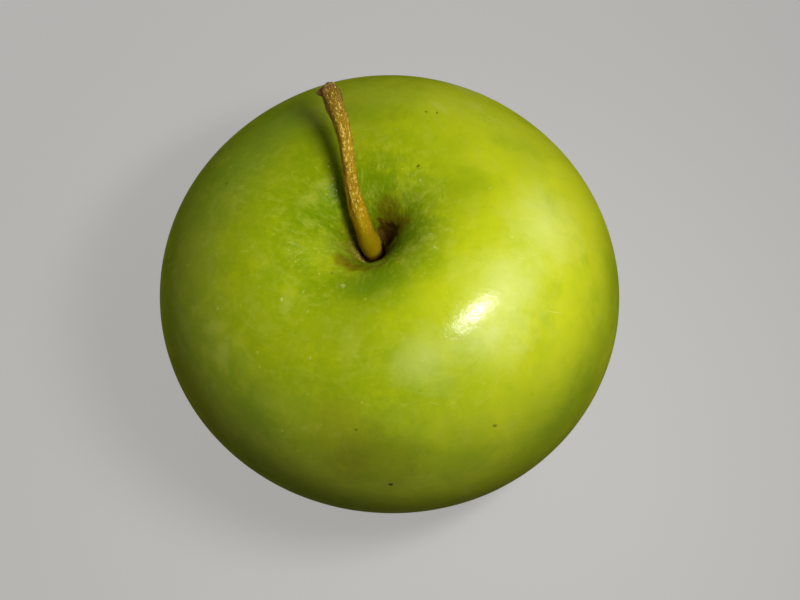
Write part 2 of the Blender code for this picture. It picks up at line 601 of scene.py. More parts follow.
@dataclass(frozen=True)
class Skin:
    """Waxy green skin: mottled, dotted with pores, streaked and russeted in the stalk cavity."""

    green: Colour = (0.185, 0.290, 0.0005)
    yellow: Colour = (0.455, 0.485, 0.009)
    pale: Colour = (0.430, 0.475, 0.005)
    film: Colour = (0.430, 0.470, 0.045)   # thin wax
    # deeper green, also painted shade in the cavity and on the parts that lie away from the lamp
    deep: Colour = (0.110, 0.205, 0.0005)
    pore: Colour = (0.480, 0.540, 0.045)
    russet: Colour = (0.150, 0.090, 0.004)
    pocket_russet_and_shade: Colour = (0.110, 0.060, 0.008)  # brown russet, painted darker as shade in the pocket
    cork: Colour = (0.035, 0.022, 0.004)
    crevice_shade: Colour = (0.028, 0.012, 0.005)    # painted shade, near black, in the crevice round the stalk
    cream: Colour = (0.420, 0.350, 0.070)  # of the lip beside it
    # pale bumps, and painted glints on the lip round the stalk and beside its shadow
    pale_bump_and_glint: Colour = (0.570, 0.620, 0.170)
    wax_and_painted_sheen: Colour = (0.620, 0.670, 0.280)   # whitish wax where it lies thick, and painted sheen round the highlight
    wax_roughness: tuple[float, float] = (0.44, 0.52)
    wax_coat: tuple[float, float] = (0.18, 0.04)  # on clean skin and on russet
    dusty_coat: float = 0.30                      # share of it that is left in the cavity
    grazing_coat: float = 0.15                    # and along the outline
    goose_depth: float = 0.00019
    edge_ragged: float = 0.55                     # how far a mark's edge strays, by its size
    edge_pitch: float = 1.4                       # and how quickly
    marks: tuple[Mark, ...] = (
        *marks_of(Stain.SPECK, (-86, 37.2, 0.48, 0.95), (-92, 31, 0.3, 0.5),
                  (-58, 34.3, 0.34, 0.55, 1.3, 40), (-121, 8.8, 0.26, 0.6),
                  (45, 12.1, 0.28, 0.55, 1.6), (61, 20.8, 0.22, 0.6, 1.5, 60),
                  (57, 21.3, 0.2, 0.6, 1.8, 20), (160, 23, 0.28, 0.6), (102, 33, 0.36),
                  (-20, 9, 0.24, 0.7)),
        *marks_of(Stain.PALE_BUMP_AND_GLINT, (-105, 10.3, 0.4, 0.4, 1.4, 30), (-134, 16.5, 0.26, 0.6, 1.6, 50),
                  (-128, 14, 0.16, 0.35, 2.6, 10), (-119, 15.8, 0.16, 0.35, 2.4, 20),
                  (-109, 22.4, 0.18, 0.35, 2, -10), (-150, 35.3, 0.18, 0.4, 1.6, 40),
                  (152, 24, 0.16, 0.4, 2.4, 70), (148, 26.2, 0.14, 0.4, 3, 80),
                  (36, 10.5, 0.2, 0.4, 1.6, 50), (-16, 10.2, 0.18, 0.4, 3.4, 5),
                  (-27, 11.8, 0.16, 0.35, 3.6, -5), (12, 19, 0.16, 0.35, 2.6, 15)),
        *marks_of(Stain.BLOOM, (-138, 28, 2, 0.5, 1.9, 25), (-146, 27, 1.5, 0.4, 2.2, -30),
                  (-131, 16.5, 1.3, 0.45, 2.4, 35), (58, 22.8, 1.2, 0.5, 2.4, 80),
                  (50, 27.5, 1.7, 0.35, 1.6, 60), (-94, 19.8, 2.5, 0.3, 2),
                  # the patches at 132 and 152 degrees, on the cavity wall left of the stalk, are
                  # partly painted sheen
                  (132, 10, 1.2, 0.35, 2.2, 70), (152, 9.5, 1.7, 0.35, 2, 60),
                  (-33, 8.5, 1.3, 0.5, 2, 20), (-20, 9.8, 0.9, 0.5, 2.6, 10),
                  (-48, 9.2, 0.9, 0.45, 2.4, -10)),
        # painted light: the cavity's left wall, which faces the lamp, painted yellower and lighter
        *marks_of(Stain.YELLOWER_AND_PAINTED_LIGHT, (205, 8.5, 5, 0.35, 1.1), (235, 8, 3.5, 0.3, 1.2)),
        *marks_of(Stain.RUST, (50, 5.2, 2.8, 0.5, 1.1), (34, 3.8, 2.2, 0.85, 1),
                  (12, 5.2, 2.2, 0.75, 1.5), (60, 3.8, 1, 0.9, 1)),
        # greener patches, partly painted shade where the top and the left lie away from the lamp
        *marks_of(Stain.GREENER_AND_PAINTED_SHADE, (130, 25, 18, 0.58, 0.8), (80, 18, 10, 0.3, 0.9),
                  (160, 31, 12, 0.35, 0.9)),
        # partly painted sheen: whitish wax spread round the highlight, where the lamp's gloss falls,
        # and partly pale skin
        *marks_of(Stain.WAX_AND_PAINTED_SHEEN, (-30, 23.5, 10, 0.5, 0.9), (-44, 26, 8, 0.44, 0.9),
                  (-66, 23.5, 7, 0.3, 0.9), (-4, 26.5, 9.5, 0.44, 0.9), (60, 32, 6, 0.22, 0.6)),
        # greener patches, partly painted shade on the lower right rim
        *marks_of(Stain.GREENER_AND_PAINTED_SHADE, (-46, 38.5, 16, 0.6, 0.8), (-86, 34, 11.5, 0.4, 0.8)),
        *marks_of(Stain.RUST, (-96, 32.5, 7, 0.19, 1.5), (-88, 35, 9, 0.18, 0.8)),
        # greener, darker patches, partly painted shade: on the rims, below the cavity and round it,
        # where the lamp's light falls off
        *marks_of(Stain.GREENER_AND_PAINTED_SHADE, (-122, 32, 7, 0.35, 1), (-20, 8, 5, 0.35, 0.8),
                  (-78, 10.5, 7.2, 0.72, 0.7), (-27, 37.5, 12, 0.42, 0.8), (44, 39, 8, 0.4, 0.7),
                  (16, 16, 7, 0.4, 1), (26, 27, 9, 0.26, 1), (-48, 12, 5, 0.3, 1),
                  (-68, 36, 9, 0.36, 1), (40, 17.5, 6, 0.24, 1.1), (-8, 37.5, 13, 0.52, 0.8)),
        # a broad yellower patch low on the left
        *marks_of(Stain.YELLOWER_AND_PAINTED_LIGHT, (-143, 36.5, 12, 0.34, 0.8)),
        *marks_of(Stain.RUST, (-145, 37.5, 12, 0.2, 0.8), (-128, 5.4, 2.1, 0.62, 1.2),
                  (-104, 5.9, 2.1, 0.64, 1), (-84, 6.5, 1.8, 0.56, 0.8),
                  (-66, 6.8, 1.5, 0.42, 0.9), (-50, 4.4, 1.3, 0.6, 1.2)),
        # painted glints: bright dots on the lip round the stalk, at the pocket's edge and beside the
        # stalk's shadow
        *marks_of(Stain.PALE_BUMP_AND_GLINT, (-128, 2.1, 0.26, 0.9, 1.5, 90), (-146, 2.3, 0.2, 0.8, 1.6, 60),
                  (-52, 2.1, 0.2, 0.8), (-41, 2, 0.16, 0.9), (52, 3.8, 0.14, 0.8, 1.8, 90),
                  (118, 11.3, 0.16, 0.8, 1.5, 40), (115, 10.8, 0.14, 0.8),
                  (119, 9.4, 0.19, 0.8, 1.6, 70), (124, 9, 0.14, 0.7),
                  (123, 8, 0.19, 0.9, 1.4, 20), (147, 3.1, 0.18, 0.9, 1.6, 50),
                  (46, 3, 0.18, 0.9, 1.4, 80), (33, 3.3, 0.16, 0.8)),
        *marks_of(Stain.SCRATCH, (-27.5, 30, 0.06, 0.6, 38, 24), (144, 27.2, 0.06, 0.5, 22, -35),
                  (-18, 23.5, 0.07, 0.4, 20, 10), (-70, 29, 0.06, 0.4, 26, 50)),
    )

    def make(self, stand: Stand) -> bpy.types.Material:
        """Build the finish.

        Args:
            stand: where the fruit stands, which places the marks.

        Returns:
            The material.
        """
        graph = Graph(bpy.data.materials.new("waxy green skin"))
        spot = Spot(graph.place(), graph.read("ray", "Vector"), graph.read("pit"))
        colour = self.mottle(graph, spot, self.ground(graph, spot))
        colour, pores = self.pores(graph, spot, colour)
        colour, streaks = self.streaks(graph, spot, colour)
        colour, rust = self.rust(graph, spot, colour)
        # dark: the mask of the painted shade in the pocket and against the stalk
        colour, dark = self.mouth(graph, spot, colour)
        colour, masks = self.mark(graph, spot, stand, colour)
        rust = graph.most(rust, graph.most(dark, masks[Stain.RUST]))
        graph.gloss(
            Base_Color=colour, IOR=1.40, Specular_IOR_Level=0.0, Subsurface_Weight=0.30,
            Subsurface_Radius=(0.8, 1.0, 0.2), Subsurface_Scale=0.0030,
            Coat_Weight=self.coat(graph, spot, rust), Coat_Roughness=0.18, Coat_IOR=2.00,
            Roughness=self.roughness(graph, spot, rust, streaks))
        self.grain(graph, spot, pores, masks)
        return graph.owner

    def ground(self, graph: Graph, spot: Spot) -> Socket:
        """Yellow-green: yellower and lighter towards +X, partly the fruit's sunny side and partly
        painted light, with the left painted darker where the lamp's light falls off; deeper green in
        the cavity, partly painted shade.
        """
        # painted light and shade in part: the colour runs lighter and yellower towards +X, where the
        # lamp falls, and darker green to the left
        sunny_and_lit = graph.add("VectorMath", spot.place, (0.96, 0.10, 0.0), operation="DOT_PRODUCT")
        side = graph.step(sunny_and_lit.outputs["Value"], -0.024, 0.038)
        drift = graph.clouds(spot.place, 38.0, 2.0, 0.55)
        patch = graph.clouds(graph.stretch(spot.place, move=(4, 2, 7)), 95.0, 3.0, 0.55)
        mix = graph.total(
            graph.scale(side, 0.28, 0.84), graph.scale(drift, -0.20, 0.26),
            graph.scale(patch, -0.32, 0.34))
        colour = graph.paint(self.green, self.yellow, mix)
        # painted shade in part: the cavity is laid in a deeper, darker green
        return graph.lay(colour, self.deep, spot.pit, -0.05, 0.60, 0.80)

    def mottle(self, graph: Graph, spot: Spot, colour: Socket) -> Socket:
        """Soft patches, smears of pale film and faint stripes from stalk to calyx."""
        patches = graph.clouds(spot.place, 210.0, 4.0, 0.65)
        colour = graph.lay(colour, self.pale, patches, 0.50, 0.72, 0.46)
        patches = graph.clouds(graph.stretch(spot.place, move=(3, 1, 2)), 150.0, 4.0)
        colour = graph.lay(colour, self.green, patches, 0.50, 0.74, 0.36)
        smears = graph.clouds(graph.stretch(spot.place, move=(9, 4, 6)), 120.0, 5.0, 0.7, 0.6)
        colour = graph.lay(colour, self.film, smears, 0.54, 0.74, 0.3)
        outer = graph.step(spot.pit, 0.40, -0.50)
        stripes = graph.clouds(graph.stretch(spot.ray, (13.0, 13.0, 1.6)), 1.0, 4.0, 0.65, 0.3)
        colour = graph.lay(colour, self.pale, stripes, 0.50, 0.70, outer, 0.36)
        veins = graph.stretch(spot.ray, (16.0, 16.0, 2.2), (6, 1, 3))
        veins = graph.clouds(veins, 1.0, 4.0, 0.65, 0.3)
        colour = graph.lay(colour, self.green, veins, 0.52, 0.72, outer, 0.34)
        return graph.lay(colour, self.pale, graph.clouds(spot.place, 1000.0, 2.0), 0.45, 0.70, 0.15)

    def pores(self, graph: Graph, spot: Spot, colour: Socket) -> tuple[Socket, Socket]:
        """Small pale pores, some in every few millimetres of skin.

        Returns:
            The colour and the pores' mask.
        """
        ragged = graph.scale(graph.clouds(spot.place, 3000.0, 2.0, 0.7), -0.06, 0.06)
        cells = graph.add("TexVoronoi", Vector=spot.place, Scale=330.0).outputs
        chance = graph.add("SeparateColor", cells["Color"]).outputs[0]
        size = graph.scale(chance, -0.03, 0.070)
        edge = graph.total(size, 0.045)
        far = graph.total(cells["Distance"], ragged)
        mask = graph.both(graph.bare(graph.step(far, size, edge)), graph.step(chance, 0.30, 0.70))
        return graph.paint(colour, self.pore, graph.both(mask, 0.58)), mask

    def streaks(self, graph: Graph, spot: Spot, colour: Socket) -> tuple[Socket, Socket]:
        """Short pale flecks and broader smears that run down into the cavity.

        Returns:
            The colour and the streaks' mask.
        """
        smears = graph.clouds(graph.stretch(spot.ray, (4.0, 4.0, 3.6)), 1.0, 5.0, 0.7, 0.8)
        flecks = graph.stretch(spot.ray, (13.0, 13.0, 6.5), (4, 2, 1))
        flecks = graph.clouds(flecks, 1.0, 4.0, 0.6, 0.4)
        near = graph.both(graph.step(spot.pit, -0.45, 0.25), graph.step(spot.pit, 0.88, 0.66))
        mask = graph.most(
            graph.both(graph.step(smears, 0.48, 0.72), near, 0.60),
            graph.both(graph.step(flecks, 0.56, 0.74), near, 0.80))
        return graph.paint(colour, self.film, graph.both(mask, 0.66)), mask

    def rust(self, graph: Graph, spot: Spot, colour: Socket) -> tuple[Socket, Socket]:
        """Brown russet that spreads from the socket in uneven rays.

        Returns:
            The colour and the russet's mask.
        """
        rays = graph.clouds(graph.stretch(spot.ray, (3.2, 3.2, 1.2), (7, 3, 0)), 1.0, 4.0, 0.6)
        grains = graph.clouds(spot.place, 1500.0, 3.0, 0.7)
        spread = graph.total(
            spot.pit, graph.scale(rays, -0.20, 0.20), graph.scale(grains, -0.16, 0.16))
        mask = graph.step(spread, 0.64, 0.90)
        return graph.paint(colour, self.russet, graph.both(mask, 0.90)), mask

    def mouth(self, graph: Graph, spot: Spot, colour: Socket) -> tuple[Socket, Socket]:
        """Crumbly cream lip on the left, and painted shade: umber-brown in the pocket, partly
        russet, and near black in the crevice against the stalk.

        Returns:
            The colour and the mask of the painted shade.
        """
        grains = graph.clouds(spot.place, 2600.0, 3.0, 0.7)
        left = graph.step(graph.add("SeparateXYZ", spot.ray).outputs["X"], 0.2, -0.4)
        crumbs = graph.step(grains, 0.42, 0.62)
        colour = graph.lay(colour, self.cream, spot.pit, 0.77, 0.86, crumbs, left, 0.80)
        # painted shade: the pocket is laid in dark umber-brown, partly russet
        pocket = graph.total(graph.read("pocket"), graph.scale(grains, -0.30, 0.30))
        pocket = graph.both(graph.step(pocket, 0.12, 0.55), 0.95)
        colour = graph.paint(colour, self.pocket_russet_and_shade, pocket)
        # painted shade: near black in the crevice where the skin meets the stalk
        crevice_shade = graph.total(spot.pit, graph.scale(grains, -0.02, 0.02))
        crevice_shade = graph.step(crevice_shade, 0.866, 0.890)
        return graph.paint(colour, self.crevice_shade, crevice_shade), graph.most(pocket, crevice_shade)

    def mark(self, graph: Graph, spot: Spot, stand: Stand, colour: Socket
             ) -> tuple[Socket, dict[Stain, object]]:
        """Lay the marks, each with a ragged edge unless it is a scratch.

        Returns:
            The colour, and the masks of the stains that change more than colour.
        """
        tints = {
            Stain.SPECK: self.cork, Stain.PALE_BUMP_AND_GLINT: self.pale_bump_and_glint, Stain.BLOOM: self.film,
            Stain.RUST: self.russet, Stain.WAX_AND_PAINTED_SHEEN: self.wax_and_painted_sheen, Stain.GREENER_AND_PAINTED_SHADE: self.deep,
            Stain.YELLOWER_AND_PAINTED_LIGHT: self.yellow, Stain.SCRATCH: self.pale_bump_and_glint}
        soft = {
            Stain.SPECK: 0.45, Stain.PALE_BUMP_AND_GLINT: 0.45, Stain.BLOOM: 0.1, Stain.RUST: 0.40,
            Stain.WAX_AND_PAINTED_SHEEN: -0.4, Stain.GREENER_AND_PAINTED_SHADE: 0.0, Stain.YELLOWER_AND_PAINTED_LIGHT: 0.0, Stain.SCRATCH: 0.45}
        masks: dict[Stain, object] = {
            stain: 0.0 for stain in (Stain.SPECK, Stain.PALE_BUMP_AND_GLINT, Stain.RUST, Stain.SCRATCH)}
        ragged: dict[int, Socket] = {}  # one for all marks of about a size
        for mark in self.marks:
            foot = stand.on_skin(mark.direction, mark.reach)
            foot = foot @ Matrix.Rotation(math.radians(mark.slant), 4, "Z")
            sizes = Vector((mark.size * mark.stretch, mark.size, mark.size * 3))
            far = graph.inside(spot.place, foot, sizes)
            if mark.stain is not Stain.SCRATCH:
                octave = round(math.log2(mark.size))
                if octave not in ragged:
                    waver = graph.clouds(spot.place, self.edge_pitch / 2 ** octave, 5.0, 0.7)
                    ragged[octave] = graph.scale(waver, -self.edge_ragged, self.edge_ragged)
                far = graph.total(far, ragged[octave])
            mask = graph.both(graph.step(far, 1.0, soft[mark.stain]), mark.cover)
            colour = graph.paint(colour, tints[mark.stain], mask)
            if mark.stain in masks:
                masks[mark.stain] = graph.most(masks[mark.stain], mask)
        return colour, masks

    def coat(self, graph: Graph, spot: Spot, rust: Socket) -> Socket:
        """Weight of the wax: thinner on russet, in the cavity and along the outline."""
        dusty = graph.scale(graph.step(spot.pit, -0.20, 0.30), 1.0, self.dusty_coat)
        facing = graph.add("LayerWeight").outputs["Facing"]
        edge = graph.scale(graph.step(facing, 0.30, 0.80), 1.0, self.grazing_coat)
        return graph.both(graph.scale(rust, *self.wax_coat), dusty, edge)

    def roughness(self, graph: Graph, spot: Spot, rust: Socket, streaks: Socket) -> Socket:
        """Waxy, with duller streaks and russet."""
        wax = graph.scale(graph.clouds(spot.place, 420.0, 3.0), *self.wax_roughness)
        return graph.total(wax, graph.both(rust, 0.22), graph.both(streaks, 0.10))

    def grain(self, graph: Graph, spot: Spot, pores: Socket, masks: dict[Stain, object]) -> None:
        """Fine unevenness of the wax, brushed downhill and rougher in the cavity."""
        lumps = graph.relief(graph.clouds(spot.place, 300.0, 3.0, 0.5), 0.00006)
        brushed = graph.clouds(graph.stretch(spot.ray, (95.0, 95.0, 5.0)), 1.0, 3.0, 0.6)
        brushed = graph.relief(brushed, 0.000006, Normal=lumps)
        rough = graph.scale(graph.step(spot.pit, 0.05, 0.45), 0.12, 1.0)
        goose = graph.both(graph.clouds(spot.place, 1500.0, 3.0, 0.6), rough)
        goose = graph.relief(goose, self.goose_depth, Normal=brushed)
        raised = graph.total(graph.both(pores, 0.5), masks[Stain.PALE_BUMP_AND_GLINT])
        raised = graph.relief(raised, 0.00008, Normal=goose)
        sunk = graph.total(masks[Stain.SPECK], graph.both(masks[Stain.SCRATCH], 0.2))
        sunk = graph.relief(graph.bare(sunk), 0.00012, Normal=raised)
        wax = graph.clouds(graph.stretch(spot.place, move=(2, 7, 3)), 800.0, 3.0, 0.6)
        graph.gloss(Normal=sunk, Coat_Normal=graph.relief(wax, 0.00004, Normal=sunk))


@dataclass(frozen=True)
class StalkWood:
    """Woody stalk: smooth and olive at its foot, golden and knurled along it, brown at the end."""

    olive: Colour = (0.285, 0.207, 0.001)
    golden: Colour = (0.400, 0.236, 0.001)
    amber: Colour = (0.290, 0.125, 0.001)
    brown: Colour = (0.180, 0.095, 0.006)
    torn: Colour = (0.220, 0.095, 0.030)   # of the broken end
    bark: Colour = (0.090, 0.038, 0.001)
    painted_glint: Colour = (0.960, 0.760, 0.160)  # painted glints on crumbs on the lamp's side

    def make(self) -> bpy.types.Material:
        """Build the finish."""
        graph = Graph(bpy.data.materials.new("stalk wood"))
        grain = graph.read("grain", "Vector")
        across = graph.add("SeparateXYZ", grain).outputs[0]
        along = graph.read("along")
        blur = graph.scale(graph.clouds(grain, 260.0, 3.0), -0.16, 0.16)
        level = graph.total(along, blur)
        rough = graph.scale(graph.step(level, 0.26, 0.50), 0.10, 1.0)
        colour = graph.lay(self.olive, self.golden, level, 0.22, 0.44)
        bands = graph.clouds(graph.stretch(grain, (1, 1, 0.35), (2, 5, 1)), 620.0, 4.0, 0.65)
        colour = graph.lay(colour, self.amber, bands, 0.46, 0.68, 0.60)
        # partly painted shade: amber darkens the left flank, which lies away from the lamp
        amber_and_shaded_flank = graph.total(across, graph.scale(bands, -0.0004, 0.0004))
        raised = graph.step(along, 0.10, 0.30)
        colour = graph.lay(colour, self.amber, amber_and_shaded_flank, 0.0001, -0.0010, raised, 0.60)
        colour = graph.lay(colour, self.brown, level, 0.66, 0.96, 0.9)
        fibres = graph.clouds(graph.stretch(grain, (1, 1, 0.35)), 2300.0, 4.0, 0.7)
        colour = graph.lay(colour, self.bark, fibres, 0.50, 0.68, rough, 0.62)
        colour = graph.lay(colour, self.bark, graph.read("ridge"), 0.30, 0.0, 0.28)
        colour = graph.lay(colour, self.torn, level, 0.93, 1.0, 0.8)
        # painted glints: bright straw flecks, only on the side that faces the lamp
        crumbs = graph.clouds(graph.stretch(grain, (1, 1, 0.5), (1, 8, 3)), 4200.0, 4.0, 0.75)
        lamp_side = graph.step(across, -0.0011, 0.0001)
        colour = graph.lay(colour, self.painted_glint, crumbs, 0.53, 0.64, rough, lamp_side, 0.92)
        # painted shade: dark bark at the lowest part of the foot, down in the socket
        colour = graph.lay(colour, self.bark, along, 0.130, 0.095, 0.85)
        pits = graph.relief(graph.both(crumbs, rough), 0.00026)
        lines = graph.relief(graph.both(fibres, rough), 0.00014, Normal=pits)
        graph.gloss(
            Base_Color=colour, IOR=1.45, Specular_IOR_Level=0.06, Coat_Weight=0.17,
            Coat_Roughness=0.12, Roughness=graph.scale(fibres, 0.34, 0.60), Normal=lines,
            Coat_Normal=lines)
        return graph.owner


@dataclass(frozen=True)
class DrySepal:
    """Brown papery sepals with grey down."""

    brown: Colour = (0.130, 0.075, 0.030)
    dark: Colour = (0.045, 0.028, 0.012)
    down: Colour = (0.330, 0.290, 0.200)

    def make(self) -> bpy.types.Material:
        """Build the finish."""
        graph = Graph(bpy.data.materials.new("dry sepal"))
        veins = graph.clouds(graph.place(), 1400.0, 4.0, 0.65)
        fuzz = graph.clouds(graph.stretch(graph.place(), move=(5, 2, 8)), 3800.0, 2.0)
        colour = graph.lay(self.dark, self.brown, veins, 0.35, 0.62)
        colour = graph.lay(colour, self.down, fuzz, 0.55, 0.72, 0.7)
        graph.gloss(
            Base_Color=colour, Roughness=0.92, Sheen_Weight=0.3, Sheen_Roughness=0.6,
            Normal=graph.relief(veins, 0.00012))
        return graph.owner


# --------------------------------------------------------------------------------------------
# Pieces
# --------------------------------------------------------------------------------------------


@dataclass
class Fruit:
    """The fruit's own body, with pleats in its cavity and puckers in its basin."""

    stand: Stand
    finish: Skin = field(default_factory=Skin)
    stretches: Stretches = Stretches()
    turn_steps: int = 360
    swell_depth: float = 0.00010   # slow unevenness of the whole skin
    swell_pitch: float = 0.021
    ripple_depth: float = 0.00004
    ripple_pitch: float = 0.0065
    standing: tuple[float, float] = (0.0004, 0.0045)  # heights between which both set in
    pleat_depth: float = 0.00026   # folds that run down into the cavity
    pleats: tuple[Crumple, ...] = (Crumple(2.6, 70, 0.35), Crumple(8.0, 160, 0.15))
    pucker_depth: float = 0.00060  # folds that run up into the basin
    puckers: int = 10
    pucker_wander: Crumple = Crumple(3.0, 90)
    pucker_rise: tuple[float, float] = (0.0006, 0.0030)  # reaches between which they deepen
    pocket_depth: float = 0.0007   # the deep fold beside the stalk
    pocket_direction: float = 29.0
    pocket_reach: float = 0.0031
    pocket_slant: float = -60.0
    pocket_length: float = 0.0028
    pocket_width: float = 0.0014
    pocket_ragged: float = 0.25
    pocket_grain: float = 900      # lumps in its edge, per metre
    pocket_lip: tuple[float, float] = (0.0014, 0.0021)  # reaches between which it sets in

    def build(self) -> bpy.types.Object:
        """Make the piece."""
        growth = self.stand.growth
        bm = turned(growth.half_section(self.stretches), self.turn_steps)
        rays = bm.verts.layers.float_vector.new("ray")
        pits = bm.verts.layers.float.new("pit")
        pockets = bm.verts.layers.float.new("pocket")
        depths = []
        for vert in bm.verts:
            reach = math.hypot(vert.co.x, vert.co.y)
            angle = math.atan2(vert.co.y, vert.co.x)
            upper = vert.co.z > growth.cheek_height
            ring = growth.crest_radius if upper else growth.foot_radius
            near = ease(reach, ring, growth.socket_radius)
            vert[rays] = toward(angle) + UP * reach / RAY_UNIT
            vert[pits] = 1.0 - min(reach / ring, 1.0) if upper else 0.0
            vert[pockets] = self.pocket(vert.co) if upper else 0.0
            fold = self.pleat(angle, reach, near) if upper else self.pucker(angle, reach, near)
            fold += self.pocket_depth * vert[pockets]
            vert.co = self.stand.place(vert.co)
            depths.append(fold + self.unevenness(vert.co))
        bm.normal_update()
        for vert, depth in zip(bm.verts, depths):
            vert.co -= vert.normal * depth
        self.wear_flat(bm)
        return finish_piece(
            Part.FRUIT, bm, self.finish.make(self.stand), "fruit_skin")

    def unevenness(self, place: Vector) -> float:
        """How far the skin lies under the smooth form, fading out at the base lobes."""
        slow = 0.5 + 0.5 * noise.noise(place / self.swell_pitch)
        quick = 0.5 + 0.5 * noise.noise(place / self.ripple_pitch)
        return ease(place.z, *self.standing) * (self.swell_depth * slow + self.ripple_depth * quick)

    def pleat(self, angle: float, reach: float, near: float) -> float:
        """Depth of the cavity's folds.

        Args:
            angle: direction round the axis, in radians.
            reach: distance from the axis.
            near: 1 at the socket, easing to 0 on the crest.

        Returns:
            The depth under the smooth form.
        """
        folds = 0.5
        for pleat in self.pleats:
            folds += pleat.at(angle, reach)
        return near * near * self.pleat_depth * folds

    def pocket(self, point: Vector) -> float:
        """How deep in the pocket beside the stalk a point of the turned body is, from 0 to 1."""
        turn = Matrix.Rotation(math.radians(-self.pocket_direction), 3, "Z")
        spot = turn @ Vector((point.x, point.y, 0.0)) - Vector((self.pocket_reach, 0.0, 0.0))
        spot = Matrix.Rotation(math.radians(-self.pocket_slant), 3, "Z") @ spot
        far = math.hypot(spot.x / self.pocket_length, spot.y / self.pocket_width)
        far += self.pocket_ragged * noise.noise(point * self.pocket_grain)
        lip = ease(math.hypot(point.x, point.y), *self.pocket_lip)
        return lip * ease(far, 1.0, 0.35)

    def pucker(self, angle: float, reach: float, near: float) -> float:
        """Depth of the basin's folds; see pleat."""
        wander = self.pucker_wander.at(angle, reach)
        folds = 0.5 + 0.30 * math.cos(self.puckers * angle + 2.5 * wander) + 0.20 * wander
        inside = ease(reach, *self.pucker_rise)
        return near * inside * self.pucker_depth * folds

    def wear_flat(self, bm: bmesh.types.BMesh) -> None:
        """Cut the base lobes flat where they stand."""
        everything = list(bm.verts) + list(bm.edges) + list(bm.faces)
        level = Vector((0.0, 0.0, self.stand.shift.z + self.stand.growth.standing_level))
        cut = bmesh.ops.bisect_plane(
            bm, geom=everything, dist=MERGE, plane_co=level, plane_no=-UP, clear_outer=True)
        rims = [item for item in cut["geom_cut"] if isinstance(item, bmesh.types.BMEdge)]
        bmesh.ops.holes_fill(bm, edges=rims, sides=0)
        bmesh.ops.recalc_face_normals(bm, faces=bm.faces)


@dataclass(frozen=True)
class Knot:
    """One point of the stalk's route: its place from the socket's mouth, and half thickness."""

    place: tuple[float, float, float]
    half: float


class Route:
    """A smooth line through knots, sampled evenly, with a frame that never twists."""

    def __init__(self, origin: Vector, knots: tuple[Knot, ...], steps: int) -> None:
        """Sample the line.

        Args:
            origin: where the knots are measured from.
            knots: the points that it goes through.
            steps: how many samples lie between two knots.
        """
        places = [origin + Vector(knot.place) for knot in knots]
        slopes = self.slopes(places)
        self.points: list[Vector] = []
        self.halves: list[float] = []
        for index in range(len(knots) - 1):
            start, end = places[index], places[index + 1]
            third = (end - start).length / 3
            line = interpolate_bezier(
                start, start + slopes[index] * third, end - slopes[index + 1] * third, end,
                steps + 1)
            self.points += line[:-1]
            for step in range(steps):
                share = ease(step / steps, 0.0, 1.0)
                self.halves.append(knots[index].half * (1 - share) + knots[index + 1].half * share)
        self.points.append(places[-1])
        self.halves.append(knots[-1].half)
        self.frames = self.carry_frames()
        self.lengths = [0.0]
        for start, end in zip(self.points, self.points[1:]):
            self.lengths.append(self.lengths[-1] + (end - start).length)

    @staticmethod
    def slopes(places: list[Vector]) -> list[Vector]:
        """Direction of the line at each knot."""
        last = len(places) - 1
        return [
            (places[min(index + 1, last)] - places[max(index - 1, 0)]).normalized()
            for index in range(last + 1)]

    def carry_frames(self) -> list[Matrix]:
        """A matrix for each sample, its Z column along the line, carried without twist."""
        frames = []
        side = Vector((1.0, 0.0, 0.0))
        last = len(self.points) - 1
        for index in range(last + 1):
            ahead = self.points[min(index + 1, last)] - self.points[max(index - 1, 0)]
            ahead.normalize()
            side = (side - ahead * side.dot(ahead)).normalized()
            frames.append(Matrix((side, ahead.cross(side), ahead)).transposed())
        return frames

    def at(self, step: float) -> tuple[Vector, Matrix, float, float]:
        """Read the line.

        Args:
            step: which sample; whole numbers are samples.

        Returns:
            The place, the frame there, the half thickness and the length from the start.
        """
        index = min(max(int(round(step)), 0), len(self.points) - 1)
        return self.points[index], self.frames[index], self.halves[index], self.lengths[index]


